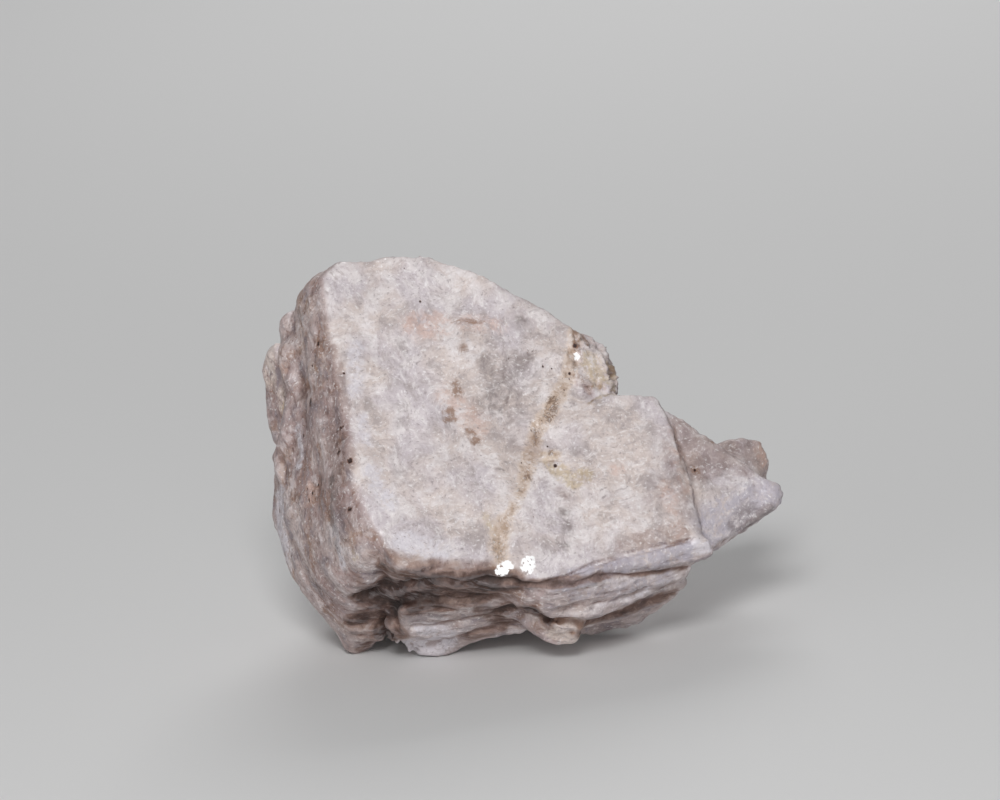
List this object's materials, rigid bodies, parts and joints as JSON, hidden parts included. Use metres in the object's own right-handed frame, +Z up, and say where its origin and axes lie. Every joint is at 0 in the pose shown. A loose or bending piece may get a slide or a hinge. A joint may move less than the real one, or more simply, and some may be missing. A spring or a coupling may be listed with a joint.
{
  "type": "wollastonite hand specimen",
  "caption": "Free-standing lump of white fibrous wollastonite: a clean leaning cleavage face, torn leaf ledges on the left and underneath, and a pointed spur on the right.",
  "frame": {"origin": "centre of the bounding box in X and Y, at its bottom, where the stone's feet rest", "axes": "+X from the lumpy left side to the spur at the right, +Y from the cleavage face's side to the hidden back, +Z up"},
  "size_m": [0.0699, 0.0431, 0.051],
  "materials": {
    "wollastonite": "broken mineral, milky white with a pinkish cast, satin on the cleavage face and matt on the torn ledges, stained tan along the seam and in the recesses"
  },
  "bodies": {
    "root": {"stone": "wollastonite"}
  },
  "joints": []
}
